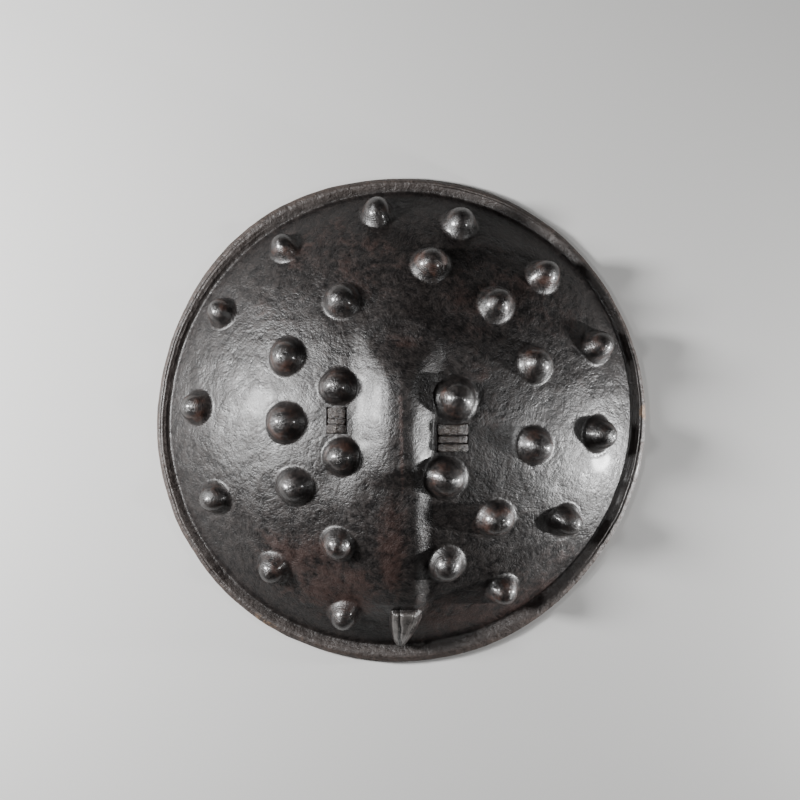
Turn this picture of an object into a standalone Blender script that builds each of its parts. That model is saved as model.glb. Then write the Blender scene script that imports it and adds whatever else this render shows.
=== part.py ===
"""A round hide shield, lying face up.

One thick sheet of hide makes the dome, its upturned rim, the bosses and the hand ridge.
A handle crosses the hollow behind the ridge, and a thong through slots holds each of its ends.
Metres, +Z up. +Y is the top of the shield as it is carried, and z = 0 is the surface it lies on.
"""
import math

import bmesh
import bpy
from mathutils import Matrix, Vector
from mathutils.geometry import delaunay_2d_cdt

# The dome, part of a ball, and the sheet that it is made of
DOME_RADIUS = 0.330
DOME_CENTRE_Z = -0.2143
THICKNESS = 0.0055
DOME_EDGE = 0.243

# How far the round shield is out of round, and where its rim is widest
OVAL = 0.0070
OVAL_BEARING = math.radians(18)
FOUR_SIDED = 0.0026
FOUR_SIDED_BEARING = math.radians(35)
RIM_WIDENING = 0.008
WIDEST_RIM_BEARING = math.radians(303)
# The outer edge's own waves: how many go round it, how far out they reach, and where they crest
EDGE_WAVES = ((1, 0.0020, 146), (2, 0.0005, 81), (3, 0.0010, 5), (5, 0.0008, -10), (6, 0.0006, 0))

# The rim's section from the dome's edge over its low lip to its outer edge: radius, height, and
# how much of it goes in with the widening, the rest going out with the edge's waves
RIM_FACE = ((0.2454, 0.0066, 1.0), (0.2477, 0.0067, 0.9), (0.2516, 0.0084, 0.75),
            (0.2541, 0.0093, 0.6), (0.2568, 0.0086, 0.3), (0.2595, 0.0056, 0.0))
# The same behind, from the outer edge to the inside of the dome, over the flat foot
RIM_BACK = ((0.2582, 0.0022, 0.0), (0.2520, 0.0, 0.5), (0.2442, 0.0, 1.0))
INNER_EDGE = 0.2414
RIM_STEPS = 80

# A boss is half of a ball, a share of the way to a blunter point, and from a share of its radius on
# a fillet carries its fall on and levels out. It is hollow behind, and the hollow is narrower by the
# wall and lower by a share of it
POINTED = 0.15
FILLET_START = 0.92
FILLET_HEIGHT = (1 - POINTED) * math.sqrt(1 - FILLET_START ** 2) + POINTED * (1 - FILLET_START ** 2)
FILLET_FALL = FILLET_START * ((1 - POINTED) / math.sqrt(1 - FILLET_START ** 2) + 2 * POINTED)
FILLET_END = FILLET_START + 2 * FILLET_HEIGHT / FILLET_FALL
BOSS_WALL = 0.0048
HOLLOW_DROP = 0.2
BOSS_RINGS = (0.45, 0.76, 0.95, 1.08, 1.32)
BOSS_STEPS = 12
HOLLOW_RINGS = (0.58, 0.96, 1.26)
HOLLOW_STEPS = 8

# Each boss: across and up from the middle, taped over the hide, its radius and its height
BOSSES = (
    (-0.028, 0.241, 0.0180, 0.019), (0.067, 0.226, 0.0185, 0.020), (0.160, 0.163, 0.0180, 0.022),
    (0.222, 0.084, 0.0178, 0.0225), (0.224, -0.016, 0.0180, 0.024), (0.189, -0.115, 0.0180, 0.0235),
    (0.119, -0.199, 0.0180, 0.021), (-0.066, -0.225, 0.0172, 0.019), (-0.144, -0.166, 0.0168, 0.019),
    (-0.210, -0.087, 0.0170, 0.020), (-0.233, 0.015, 0.0175, 0.020), (-0.207, 0.124, 0.0160, 0.019),
    (-0.135, 0.199, 0.0162, 0.018), (0.032, 0.170, 0.0188, 0.019), (0.102, 0.125, 0.0183, 0.020),
    (0.143, 0.060, 0.0182, 0.021), (0.144, -0.027, 0.0180, 0.021), (0.103, -0.107, 0.0190, 0.021),
    (0.050, -0.159, 0.0188, 0.021), (-0.068, -0.131, 0.0166, 0.019), (-0.113, -0.069, 0.0180, 0.019),
    (-0.122, -0.002, 0.0190, 0.020), (-0.122, 0.068, 0.0180, 0.019), (-0.064, 0.128, 0.0180, 0.018),
    (-0.066, 0.035, 0.0172, 0.020), (-0.062, -0.037, 0.0172, 0.020), (0.057, 0.022, 0.0192, 0.021),
    (0.046, -0.060, 0.0195, 0.021),
)

# The hand ridge: a low spine with a round head, and the hand's own hump upon it
HUMP_HEIGHT = 0.007
HEAD_V = 0.079
HEAD_RADIUS = 0.053
# Stations down the spine: v, then u of the left foot, left shoulder, right shoulder and right foot,
# and the height. Below the hand its left side runs out wide and gently, its right side is steep.
SPINE_STATIONS = (
    (0.079, -0.053, -0.030, 0.030, 0.053, 0.0045), (0.040, -0.055, -0.010, 0.010, 0.044, 0.0100),
    (-0.020, -0.055, -0.010, 0.010, 0.036, 0.0100), (-0.085, -0.100, -0.008, 0.0115, 0.0335, 0.0090),
    (-0.160, -0.105, -0.005, 0.012, 0.0335, 0.0085), (-0.212, -0.066, 0.005, 0.015, 0.031, 0.0085),
)
SPINE_END = -0.234
SPINE_FADE = 0.032
# The hump: its left foot, left and right crest and right foot, and where it runs out above and below
HUMP_SIDES = (-0.050, 0.000, 0.004, 0.034)
HUMP_TOP = 0.084
HUMP_TOP_FADE = 0.040
HUMP_END = -0.070
HUMP_FADE = 0.022
# How far the ridge's hollow lies inside its flanks, how far apart the rows of points across the
# ridge are, and where the points lie in a row, on each flank from its foot to its shoulder
RIDGE_INSET = 0.0010
RIDGE_ROW = 0.0125
FACE_SHARES = (0.0, 0.25, 0.50, 0.75, 1.0)
BACK_SHARES = (0.0, 0.33, 0.67, 1.0)

# The lug at the ridge's foot, its sections down the face: v, then u of its left foot, left
# shoulder, right shoulder and right foot, and its height. Its root is a little way into the sheet,
# and its sides stand steep for the first share of the height, and for a least height over the root.
# Its top leans to the left: the left shoulder has only a share of the height.
LUG_SECTIONS = (
    (-0.2150, -0.0125, -0.0100, 0.0146, 0.0195, 0.0118), (-0.2205, -0.0128, -0.0100, 0.0146, 0.0232, 0.0138),
    (-0.2320, -0.0132, -0.0098, 0.0108, 0.0226, 0.0148), (-0.2430, -0.0134, -0.0094, 0.0070, 0.0190, 0.0150),
    (-0.2540, -0.0130, -0.0086, 0.0040, 0.0146, 0.0142), (-0.2630, -0.0112, -0.0072, 0.0030, 0.0104, 0.0118),
    (-0.2700, -0.0082, -0.0058, 0.0028, 0.0068, 0.0082),
)
LUG_ROOT = -0.0025
LUG_FLANK = 0.25
LEAST_FLANK = 0.0005
LEFT_SHOULDER_SHARE = 0.85

# The grip and what holds it: where each lacing's middle is, and the slots it goes through
LEFT_LACING = (-0.067, 0.0)
RIGHT_LACING = (0.053, -0.018)
SLOT_WIDTH = 0.0045
# Each lacing: half the distance between its slots' middles, and the slots' half height
LEFT_SPAN = (0.0085, 0.0138)
RIGHT_SPAN = (0.0140, 0.0150)
# Strands across a lacing: from y, to y, height over the hide
LEFT_STRANDS = ((-0.0132, -0.0040, 0.0050), (-0.0036, 0.0020, 0.0024), (0.0024, 0.0132, 0.0020))
RIGHT_STRANDS = ((-0.0142, -0.0060, 0.0048), (-0.0052, 0.0022, 0.0032), (0.0030, 0.0142, 0.0050))
# A strand is full height from its shoulder on, a share of its width in, and this share at its edge
STRAND_SHOULDER = 0.22
STRAND_EDGE = 0.4
# The thong's thickness where it is hidden, its gap to the hide and the pad, and how it turns
# over a slot's edge: where it starts to turn, and how far in it has turned half way and fully
THONG = 0.0030
FIT = 0.0005
TURN_START = -0.0015
HALF_TURN = 0.0008
FULL_TURN = 0.0045

# The grip: a pad at each end, and how far it reaches to the left and right of its lacing's middle,
# then the bar between the pads
PAD_DROP = 0.0072
PAD_THICKNESS = 0.0060
PAD_HALF_WIDTH = 0.0195
PAD_TAPER = 0.0050
PAD_SQUARENESS = 7.0
LEFT_PAD = (0.0165, 0.0145)
RIGHT_PAD = (0.0200, 0.0215)
GRIP_SAG = 0.0260
GRIP_HALF_WIDTH = 0.0140
GRIP_HALF_HEIGHT = 0.0100
BAR_SQUARENESS = 2.4
BAR_EASE = 0.33
BAR_STATIONS = (0.10, 0.20, 0.30, 0.40, 0.60, 0.70, 0.80, 0.90)
GRIP_STEPS = 12

# How far apart the points lie where nothing is pressed out of the sheet
FACE_GRID = 0.024
BACK_GRID = 0.028
ROW_PITCH = math.sqrt(3) / 2
# How clear those points stay: of a boss, in its radii, and of the edge, the slots and the ridge's
# points, in the grid's pitch
CLEAR_OF_BOSS = 1.6
CLEAR_OF_EDGE = 0.45
CLEAR_OF_SLOT = 0.3
CLEAR_OF_RIDGE = 0.6
EPSILON = 0.000001
HIDE_CREASE = math.radians(50)
CREASE = math.radians(40)


def smooth(value):
    """Runs from 0 to 1 with level ends as value goes from 0 to 1."""
    value = min(max(value, 0.0), 1.0)
    return value * value * (3 - 2 * value)


def between(stations, v):
    """The numbers of a table of stations at v, straight between its rows."""
    if v >= stations[0][0]:
        return stations[0][1:]
    for upper, lower in zip(stations, stations[1:]):
        if v >= lower[0]:
            share = (upper[0] - v) / (upper[0] - lower[0])
            return [a + (b - a) * share for a, b in zip(upper[1:], lower[1:])]
    return stations[-1][1:]


def cap(distance, radius):
    """The height of a boss of height 1 at a distance from its middle."""
    share = distance / radius
    if share < FILLET_START:
        return (1 - POINTED) * math.sqrt(1 - share * share) + POINTED * (1 - share * share)
    if share < FILLET_END:
        return FILLET_HEIGHT * ((FILLET_END - share) / (FILLET_END - FILLET_START)) ** 2
    return 0.0


def bosses_at(u, v, wall=0.0):
    """How far the bosses stand out of the sheet at a point, or their hollows, inside the wall."""
    lift = 0.0
    for boss_u, boss_v, radius, height in BOSSES:
        distance = math.hypot(u - boss_u, v - boss_v)
        lift = max(lift, (height - HOLLOW_DROP * wall) * cap(distance, radius - wall))
    return lift


def spine_at(u, v, inset=0.0):
    """The low spine of the ridge: a round head, then two flanks down to its fading foot."""
    left_foot, left_shoulder, right_shoulder, right_foot, height = between(SPINE_STATIONS, v)
    if v > HEAD_V:
        reach = math.hypot(u, v - HEAD_V)
        across = smooth((HEAD_RADIUS - inset - reach) / (HEAD_RADIUS - right_shoulder))
    else:
        across = min(smooth((u - left_foot - inset) / (left_shoulder - left_foot)),
                     smooth((right_foot - inset - u) / (right_foot - right_shoulder)))
    return height * across * smooth((v - SPINE_END) / SPINE_FADE)


def hump_at(u, v, inset=0.0):
    """The hump over the hand, upon the spine, running out above and below."""
    left_foot, left_crest, right_crest, right_foot = HUMP_SIDES
    across = min(smooth((u - left_foot - inset) / (left_crest - left_foot)),
                 smooth((right_foot - inset - u) / (right_foot - right_crest)))
    along = smooth((v - HUMP_END) / HUMP_FADE) * smooth((HUMP_TOP - v) / HUMP_TOP_FADE)
    return HUMP_HEIGHT * across * along


def face_lift(u, v):
    """How far the face of the sheet stands out from the plain dome."""
    return spine_at(u, v) + hump_at(u, v) + bosses_at(u, v)


def back_lift(u, v):
    """The back of the sheet: the same forms, hollow, a wall's thickness behind the face."""
    ridge = spine_at(u, v, RIDGE_INSET) + hump_at(u, v, RIDGE_INSET)
    return ridge + bosses_at(u, v, BOSS_WALL) - THICKNESS


def outline_stretch(bearing):
    """How far out of round the outline is at a bearing, as a share of the radius."""
    oval = OVAL * math.cos(2 * (bearing - OVAL_BEARING))
    return oval + FOUR_SIDED * math.cos(4 * (bearing - FOUR_SIDED_BEARING))


def rim_shift(bearing):
    """How far in the dome's edge moves where the rim is wider."""
    return RIM_WIDENING * max(0.0, math.cos(bearing - WIDEST_RIM_BEARING)) ** 3


def edge_shift(bearing):
    """How far out the waves carry the outer edge at a bearing."""
    return sum(reach * math.cos(waves * (bearing - math.radians(crest)))
               for waves, reach, crest in EDGE_WAVES)


def out_of_round(radius, bearing, z, inward, outward=0.0):
    """A point of the true round shape, moved to where the hand-made outline has it."""
    stretch = outline_stretch(bearing) * min(1.0, (radius / DOME_EDGE) ** 2)
    radius = radius * (1 + stretch) - rim_shift(bearing) * inward + edge_shift(bearing) * outward
    return Vector((radius * math.cos(bearing), radius * math.sin(bearing), z))


def on_dome(u, v, lift):
    """The point at u across and v up, taped over the dome, and lifted off it."""
    arc = math.hypot(u, v) / DOME_RADIUS
    radius = (DOME_RADIUS + lift) * math.sin(arc)
    height = DOME_CENTRE_Z + (DOME_RADIUS + lift) * math.cos(arc)
    share = min(1.0, (radius / DOME_EDGE) ** 2)
    return out_of_round(radius, math.atan2(v, u), height, share)


def dome_frame(u, v):
    """A frame on the plain dome: its z stands out of the sheet and its x points across."""
    origin = on_dome(u, v, 0.0)
    out = (on_dome(u, v, THICKNESS) - origin).normalized()
    across = Vector((1, 0, 0)) - out * out.x
    across.normalize()
    frame = Matrix((across, out.cross(across), out)).transposed().to_4x4()
    frame.translation = origin
    return frame


def ring(u, v, radius, steps, turn=0.0):
    """Points round a circle on the unrolled sheet."""
    angles = [turn + 2 * math.pi * step / steps for step in range(steps)]
    return [(u + radius * math.cos(a), v + radius * math.sin(a)) for a in angles]


def slot_outlines():
    """The four slots on the unrolled sheet, each an upright rectangle given corner by corner."""
    outlines = []
    for (u, v), (half_span, half_height) in ((LEFT_LACING, LEFT_SPAN), (RIGHT_LACING, RIGHT_SPAN)):
        for side in (-half_span, half_span):
            left, right = u + side - SLOT_WIDTH / 2, u + side + SLOT_WIDTH / 2
            low, high = v - half_height, v + half_height
            outlines.append(((left, low), (right, low), (right, high), (left, high)))
    return outlines


def near_boss(u, v, reach):
    """Whether a point is within some number of radii of a boss's middle."""
    return any(math.hypot(u - b[0], v - b[1]) < b[2] * reach for b in BOSSES)


def near_slot(u, v, margin):
    """Whether a point is in a slot or within a margin of one."""
    for corners in slot_outlines():
        (left, low), (right, high) = corners[0], corners[2]
        if left - margin < u < right + margin and low - margin < v < high + margin:
            return True
    return False


def ridge_rows(inset, shares):
    """Points over the ridge: rows across it, with points up each flank at the given shares."""
    rows = []
    top, full = HEAD_V + HEAD_RADIUS, SPINE_END + SPINE_FADE
    count = math.ceil((top - full) / RIDGE_ROW)
    heights = [top + (full - top) * k / count for k in range(count + 1)]
    for v in heights + [SPINE_END + SPINE_FADE / 2, SPINE_END]:
        narrower = math.sqrt(1 - min(1.0, max(0.0, v - HEAD_V) / HEAD_RADIUS) ** 2)
        left, left_top, right_top, right = [u * narrower for u in between(SPINE_STATIONS, v)[:4]]
        if right - left > 2 * (RIDGE_ROW + inset):
            row = [(left + inset + (left_top - left) * share, v) for share in shares]
            row.extend((right - inset - (right - right_top) * share, v) for share in shares)
            rows.append(row)
    return rows


def sheet_points(edge_arc, rings, steps, wall, grid, shares, inset):
    """All points of one skin on the unrolled sheet: its edge first, then the slots' corners."""
    points = ring(0, 0, edge_arc, RIM_STEPS)
    slots = slot_outlines()
    for corners in slots:
        points.extend(corners)
    reach = 1.05 * BOSS_RINGS[-1]
    for boss_u, boss_v, radius, _ in BOSSES:
        points.append((boss_u, boss_v))
        for number, share in enumerate(rings):
            turn = math.pi / steps * (number % 2)
            points.extend(ring(boss_u, boss_v, (radius - wall) * share, steps, turn))
    ridge = [point for row in ridge_rows(inset, shares) for point in row
             if not near_boss(*point, reach) and not near_slot(*point, THICKNESS)]
    points.extend(ridge)
    rows = int(edge_arc / grid / ROW_PITCH) + 1
    for row in range(-rows, rows + 1):
        for column in range(-rows - 1, rows + 2):
            u = (column + 0.5 * (row % 2)) * grid
            v = row * grid * ROW_PITCH
            clear = math.hypot(u, v) < edge_arc - CLEAR_OF_EDGE * grid
            clear = clear and not near_boss(u, v, CLEAR_OF_BOSS)
            clear = clear and not near_slot(u, v, CLEAR_OF_SLOT * grid)
            if clear and all(math.hypot(u - p[0], v - p[1]) > CLEAR_OF_RIDGE * grid for p in ridge):
                points.append((u, v))
    return points


def skin(mesh, edge_arc, lift, rings, steps, wall, grid, shares, inset):
    """Adds one skin of the dome to the mesh and returns its edge and its slots' corners."""
    flat = [Vector(p) for p in sheet_points(edge_arc, rings, steps, wall, grid, shares, inset)]
    first = RIM_STEPS
    loops = [list(range(first + 4 * n, first + 4 * n + 4)) for n in range(4)]
    edges = [(loop[k], loop[(k + 1) % 4]) for loop in loops for k in range(4)]
    placed, _, faces, sources, _, _ = delaunay_2d_cdt(flat, edges, [], 0, EPSILON)
    verts = [mesh.verts.new(on_dome(p.x, p.y, lift(p.x, p.y))) for p in placed]
    where = {source: number for number, listed in enumerate(sources) for source in listed}
    for face in faces:
        middle = sum((placed[k] for k in face), Vector((0, 0))) / 3
        if not near_slot(middle.x, middle.y, 0.0):
            mesh.faces.new([verts[k] for k in face])
    edge = [verts[where[k]] for k in range(RIM_STEPS)]
    return edge, [[verts[where[k]] for k in loop] for loop in loops]


def band(mesh, one, other):
    """A closed band of faces between two rings with the same number of points."""
    count = len(one)
    for k in range(count):
        mesh.faces.new((one[k], one[(k + 1) % count], other[(k + 1) % count], other[k]))


def rim_ring(mesh, radius, z, inward):
    """A ring of points round the rim."""
    bearings = [2 * math.pi * k / RIM_STEPS for k in range(RIM_STEPS)]
    return [mesh.verts.new(out_of_round(radius, b, z, inward, 1 - inward)) for b in bearings]


def material(name, colour, roughness):
    """A plain finish."""
    made = bpy.data.materials.new(name)
    made.use_nodes = True
    shader = made.node_tree.nodes["Principled BSDF"]
    shader.inputs["Base Color"].default_value = (*colour, 1.0)
    shader.inputs["Roughness"].default_value = roughness
    shader.inputs["Metallic"].default_value = 0.0
    return made


def add_object(name, mesh, finish, sharp_from=None):
    """Turns a finished mesh into a named object with its faces pointing out."""
    bmesh.ops.recalc_face_normals(mesh, faces=mesh.faces)
    data = bpy.data.meshes.new(name)
    mesh.to_mesh(data)
    mesh.free()
    data.materials.append(finish)
    if sharp_from is not None:
        data.shade_smooth()
        data.set_sharp_from_angle(angle=sharp_from)
    made = bpy.data.objects.new(name, data)
    bpy.context.scene.collection.objects.link(made)
    return made


def lug_section(v, left_foot, left_shoulder, right_shoulder, right_foot, height):
    """A section of the lug: its root in the sheet, its sloping sides and its leaning top."""
    root = spine_at((left_foot + right_foot) / 2, v) + LUG_ROOT
    flank = max(LUG_FLANK * height, root + LEAST_FLANK)
    outline = ((left_foot, root), (left_foot, flank), (left_shoulder, LEFT_SHOULDER_SHARE * height),
               (right_shoulder, height), (right_foot, flank), (right_foot, root))
    return [on_dome(u, v, lift) for u, lift in outline]


def make_lug(finish):
    """The lug at the foot of the ridge, pinched up out of the hide."""
    mesh = bmesh.new()
    sections = [[mesh.verts.new(p) for p in lug_section(*s)] for s in LUG_SECTIONS]
    for upper, lower in zip(sections, sections[1:]):
        band(mesh, upper, lower)
    mesh.faces.new(sections[0])
    mesh.faces.new(sections[-1])
    return add_object("lug", mesh, finish)


def make_hide(finish):
    """The sheet: two skins joined over the rim and through the slots, with the lug made one with it."""
    mesh = bmesh.new()
    face_arc = DOME_RADIUS * math.asin(DOME_EDGE / DOME_RADIUS)
    back_arc = DOME_RADIUS * math.asin(INNER_EDGE / (DOME_RADIUS - THICKNESS))
    face_edge, face_slots = skin(mesh, face_arc, face_lift, BOSS_RINGS, BOSS_STEPS, 0.0,
                                 FACE_GRID, FACE_SHARES, 0.0)
    back_edge, back_slots = skin(mesh, back_arc, back_lift, HOLLOW_RINGS, HOLLOW_STEPS, BOSS_WALL,
                                 BACK_GRID, BACK_SHARES, RIDGE_INSET)
    rings = [rim_ring(mesh, *section) for section in RIM_FACE + RIM_BACK]
    for one, other in zip([face_edge] + rings, rings + [back_edge]):
        band(mesh, one, other)
    for face_loop, back_loop in zip(face_slots, back_slots):
        band(mesh, face_loop, back_loop)
    hide = add_object("hide", mesh, finish, HIDE_CREASE)
    lug = make_lug(finish)
    lug.hide_render = True
    lug.display_type = "WIRE"
    join = hide.modifiers.new("lug", "BOOLEAN")
    join.operation = "UNION"
    join.solver = "EXACT"
    join.object = lug
    return hide


def strand_section(strands):
    """A thong's turns side by side, seen end on: y, and the thickness there, edge by edge."""
    outer = []
    for low, high, height in strands:
        thick = height - FIT
        shoulder = STRAND_SHOULDER * (high - low)
        outer.extend(((low, STRAND_EDGE * thick), (low + shoulder, thick)))
        outer.extend(((high - shoulder, thick), (high, STRAND_EDGE * thick)))
    return outer


def make_lacing(name, place, span, strands, finish):
    """A thong wound through both slots and round the grip's pad, as one closed loop."""
    frame = dome_frame(*place)
    section = strand_section(strands)
    first_y, last_y = section[0][0], section[-1][0]
    inner = span[0] - THONG / 2
    low = -PAD_DROP - PAD_THICKNESS - FIT
    # One side of the loop, from behind the pad up to the face: the inner side's x and z, which
    # way the thong's thickness goes, and whether it has the strands' shape there
    side = ((inner, low, 1.0, -1.0, False), (inner, TURN_START, 1.0, 0.0, False),
            (inner - HALF_TURN, FIT, 0.5, 0.75, True), (inner - FULL_TURN, FIT, 0.0, 1.0, True))
    other_side = [(-x, z, -out_x, out_z, shaped) for x, z, out_x, out_z, shaped in reversed(side)]
    mesh = bmesh.new()
    loops = []
    for x, z, out_x, out_z, shaped in list(side) + other_side:
        points = [(x, first_y, z), (x, last_y, z)]
        for y, thick in reversed(section):
            thick = thick if shaped else THONG
            points.append((x + out_x * thick, y, z + out_z * thick))
        loops.append([mesh.verts.new(frame @ Vector(p)) for p in points])
    for one, other in zip(loops, loops[1:] + loops[:1]):
        band(mesh, one, other)
    return add_object(name, mesh, finish, CREASE)


def grip_section(mesh, centre, across, up, half_width, half_height, squareness):
    """A section of the grip, from a round bar to a flat pad with round corners as squareness grows."""
    loop = []
    for step in range(GRIP_STEPS):
        angle = 2 * math.pi * (step + 0.5) / GRIP_STEPS
        c, s = math.cos(angle), math.sin(angle)
        x = math.copysign(abs(c) ** (2 / squareness), c) * half_width
        z = math.copysign(abs(s) ** (2 / squareness), s) * half_height
        loop.append(mesh.verts.new(centre + across * x + up * z))
    return loop


def cut_slots(grip, frame, span):
    """Cuts a pad's two slots, in line with the slots in the hide."""
    half_span, half_height = span
    for side in (-half_span, half_span):
        mesh = bmesh.new()
        size = Matrix.Diagonal((SLOT_WIDTH, 2 * half_height, 3 * PAD_THICKNESS, 1))
        place = Matrix.Translation((side, 0, -PAD_DROP - PAD_THICKNESS / 2))
        bmesh.ops.create_cube(mesh, size=1.0, matrix=frame @ place @ size)
        cutter = add_object("slot_cutter", mesh, grip.data.materials[0])
        cutter.hide_render = True
        cutter.display_type = "WIRE"
        cut = grip.modifiers.new("slot", "BOOLEAN")
        cut.operation = "DIFFERENCE"
        cut.solver = "EXACT"
        cut.object = cutter


def make_grip(finish):
    """The handle: a bar bowed away from the hide, flat and slotted at both ends."""
    left, right = dome_frame(*LEFT_LACING), dome_frame(*RIGHT_LACING)
    depth = -PAD_DROP - PAD_THICKNESS / 2
    mesh = bmesh.new()
    sections = []
    for x, narrower in ((-LEFT_PAD[0], PAD_TAPER), (-LEFT_PAD[0] + PAD_TAPER, 0.0), (LEFT_PAD[1], 0.0)):
        half_width = PAD_HALF_WIDTH - narrower
        sections.append(grip_section(mesh, left @ Vector((x, 0, depth)), left.col[1].xyz,
                                     left.col[2].xyz, half_width, PAD_THICKNESS / 2, PAD_SQUARENESS))
    start, end = left @ Vector((LEFT_PAD[1], 0, depth)), right @ Vector((-RIGHT_PAD[0], 0, depth))
    run = end - start
    across = Vector((-run.y, run.x, 0)).normalized()
    for share in BAR_STATIONS:
        ease = smooth(min(share, 1 - share) / BAR_EASE)
        centre = start + run * share - Vector((0, 0, GRIP_SAG * ease))
        half_width = PAD_HALF_WIDTH + (GRIP_HALF_WIDTH - PAD_HALF_WIDTH) * ease
        half_height = PAD_THICKNESS / 2 + (GRIP_HALF_HEIGHT - PAD_THICKNESS / 2) * ease
        squareness = PAD_SQUARENESS + (BAR_SQUARENESS - PAD_SQUARENESS) * ease
        sections.append(grip_section(mesh, centre, across, Vector((0, 0, 1)), half_width,
                                     half_height, squareness))
    for x, narrower in ((-RIGHT_PAD[0], 0.0), (RIGHT_PAD[1] - PAD_TAPER, 0.0), (RIGHT_PAD[1], PAD_TAPER)):
        half_width = PAD_HALF_WIDTH - narrower
        sections.append(grip_section(mesh, right @ Vector((x, 0, depth)), right.col[1].xyz,
                                     right.col[2].xyz, half_width, PAD_THICKNESS / 2, PAD_SQUARENESS))
    for one, other in zip(sections, sections[1:]):
        band(mesh, one, other)
    mesh.faces.new(sections[0])
    mesh.faces.new(sections[-1])
    grip = add_object("grip", mesh, finish, CREASE)
    cut_slots(grip, left, LEFT_SPAN)
    cut_slots(grip, right, RIGHT_SPAN)
    return grip


def main():
    """Builds the shield's four pieces in an empty scene."""
    for old in list(bpy.data.objects):
        bpy.data.objects.remove(old)
    hide_finish = material("dark_hide", (0.045, 0.036, 0.032), 0.42)
    grip_finish = material("grip_hide", (0.075, 0.050, 0.034), 0.60)
    thong_finish = material("thong_hide", (0.110, 0.080, 0.058), 0.55)
    make_hide(hide_finish)
    make_grip(grip_finish)
    make_lacing("left_lacing", LEFT_LACING, LEFT_SPAN, LEFT_STRANDS, thong_finish)
    make_lacing("right_lacing", RIGHT_LACING, RIGHT_SPAN, RIGHT_STRANDS, thong_finish)


main()
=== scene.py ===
# %% [markdown]
# # A bossed hide shield
#
# The real shield is one thick sheet of hide, soaked, pressed over a form and dried hard. Its dome,
# bosses, hand ridge and turned-up rim are all the same sheet. A handle is laced on behind.
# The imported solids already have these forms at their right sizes. This lesson gives them the fine
# surface: the same forms again with many more points, small dents, fibres, wear and colour.

# %% Load the fixed frame
import math

import bmesh
import bpy
import numpy as np
from mathutils import Matrix, Vector, noise
from mathutils.geometry import delaunay_2d_cdt


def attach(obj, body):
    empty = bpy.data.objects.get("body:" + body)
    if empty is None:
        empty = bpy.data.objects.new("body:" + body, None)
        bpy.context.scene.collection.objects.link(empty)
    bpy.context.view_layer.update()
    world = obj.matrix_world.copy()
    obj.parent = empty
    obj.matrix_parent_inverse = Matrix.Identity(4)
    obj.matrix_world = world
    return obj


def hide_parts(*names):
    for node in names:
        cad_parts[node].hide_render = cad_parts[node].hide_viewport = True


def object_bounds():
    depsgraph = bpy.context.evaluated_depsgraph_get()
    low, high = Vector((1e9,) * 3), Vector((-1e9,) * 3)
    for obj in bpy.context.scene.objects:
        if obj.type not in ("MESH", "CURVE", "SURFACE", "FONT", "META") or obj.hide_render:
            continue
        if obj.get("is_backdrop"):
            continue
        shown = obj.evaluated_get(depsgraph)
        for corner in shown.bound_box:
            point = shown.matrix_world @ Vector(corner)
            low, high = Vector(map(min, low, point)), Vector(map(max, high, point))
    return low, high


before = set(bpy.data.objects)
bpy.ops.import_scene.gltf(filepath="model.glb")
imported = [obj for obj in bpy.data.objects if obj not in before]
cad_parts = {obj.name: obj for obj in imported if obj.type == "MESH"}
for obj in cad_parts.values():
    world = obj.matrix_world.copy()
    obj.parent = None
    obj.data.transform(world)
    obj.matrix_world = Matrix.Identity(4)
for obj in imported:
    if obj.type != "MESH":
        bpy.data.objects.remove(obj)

cad_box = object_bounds()
print("nodes:", sorted(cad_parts), "box:", [tuple(round(c, 4) for c in corner) for corner in cad_box])

# %% [markdown]
# ## One small class for shader sums
#
# A material's masks are easier to read as Python sums than as rows of nodes. `Wire` holds one output
# socket. Adding or multiplying wires adds Math nodes, and `node` adds any other kind of node.

# %% Wires that can be added up, and helpers


class Wire:
    """One output socket of a material's tree; sums on it add Math nodes."""

    def __init__(self, tree, socket=None):
        self.tree = tree
        self.socket = socket

    def node(self, kind, settings=None, sockets=None, out=0):
        """Adds a node: its settings first, then the values or wires of its sockets."""
        made = self.tree.nodes.new(kind)
        for name, value in (settings or {}).items():
            setattr(made, name, value)
        set_sockets(made, sockets or {})
        return Wire(self.tree, made.outputs[out])

    def sum(self, operation, first, second):
        """One Math node on wires or numbers."""
        return self.node("ShaderNodeMath", {"operation": operation}, {0: first, 1: second})

    def __add__(self, other):
        return self.sum("ADD", self, other)

    def __mul__(self, other):
        return self.sum("MULTIPLY", self, other)

    def __sub__(self, other):
        return self.sum("SUBTRACT", self, other)

    def __rsub__(self, other):
        return self.sum("SUBTRACT", other, self)

    __radd__ = __add__
    __rmul__ = __mul__

    def between(self, low, high):
        """0 below low, 1 above high, and smooth in between; high may be the lower one."""
        return self.node("ShaderNodeMapRange", {"interpolation_type": "SMOOTHSTEP"},
                         {"Value": self, "From Min": low, "From Max": high})

    def mix(self, colour, other):
        """From a colour to another one as this wire goes from 0 to 1."""
        return self.node("ShaderNodeMix", {"data_type": "RGBA"}, {0: self, 6: colour, 7: other}, out=2)


def start_material(name):
    """A new material, its Principled shader, and the wire that says where a point is."""
    made = bpy.data.materials.new(name)
    made.use_nodes = True
    tree = made.node_tree
    return made, tree.nodes["Principled BSDF"], Wire(tree).node("ShaderNodeTexCoord", out=3)


def set_sockets(node, sockets):
    """Links wires to a node's sockets, or sets plain values on them."""
    for name, value in sockets.items():
        if isinstance(value, Wire):
            value.tree.links.new(value.socket, node.inputs[name])
        else:
            node.inputs[name].default_value = value


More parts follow.
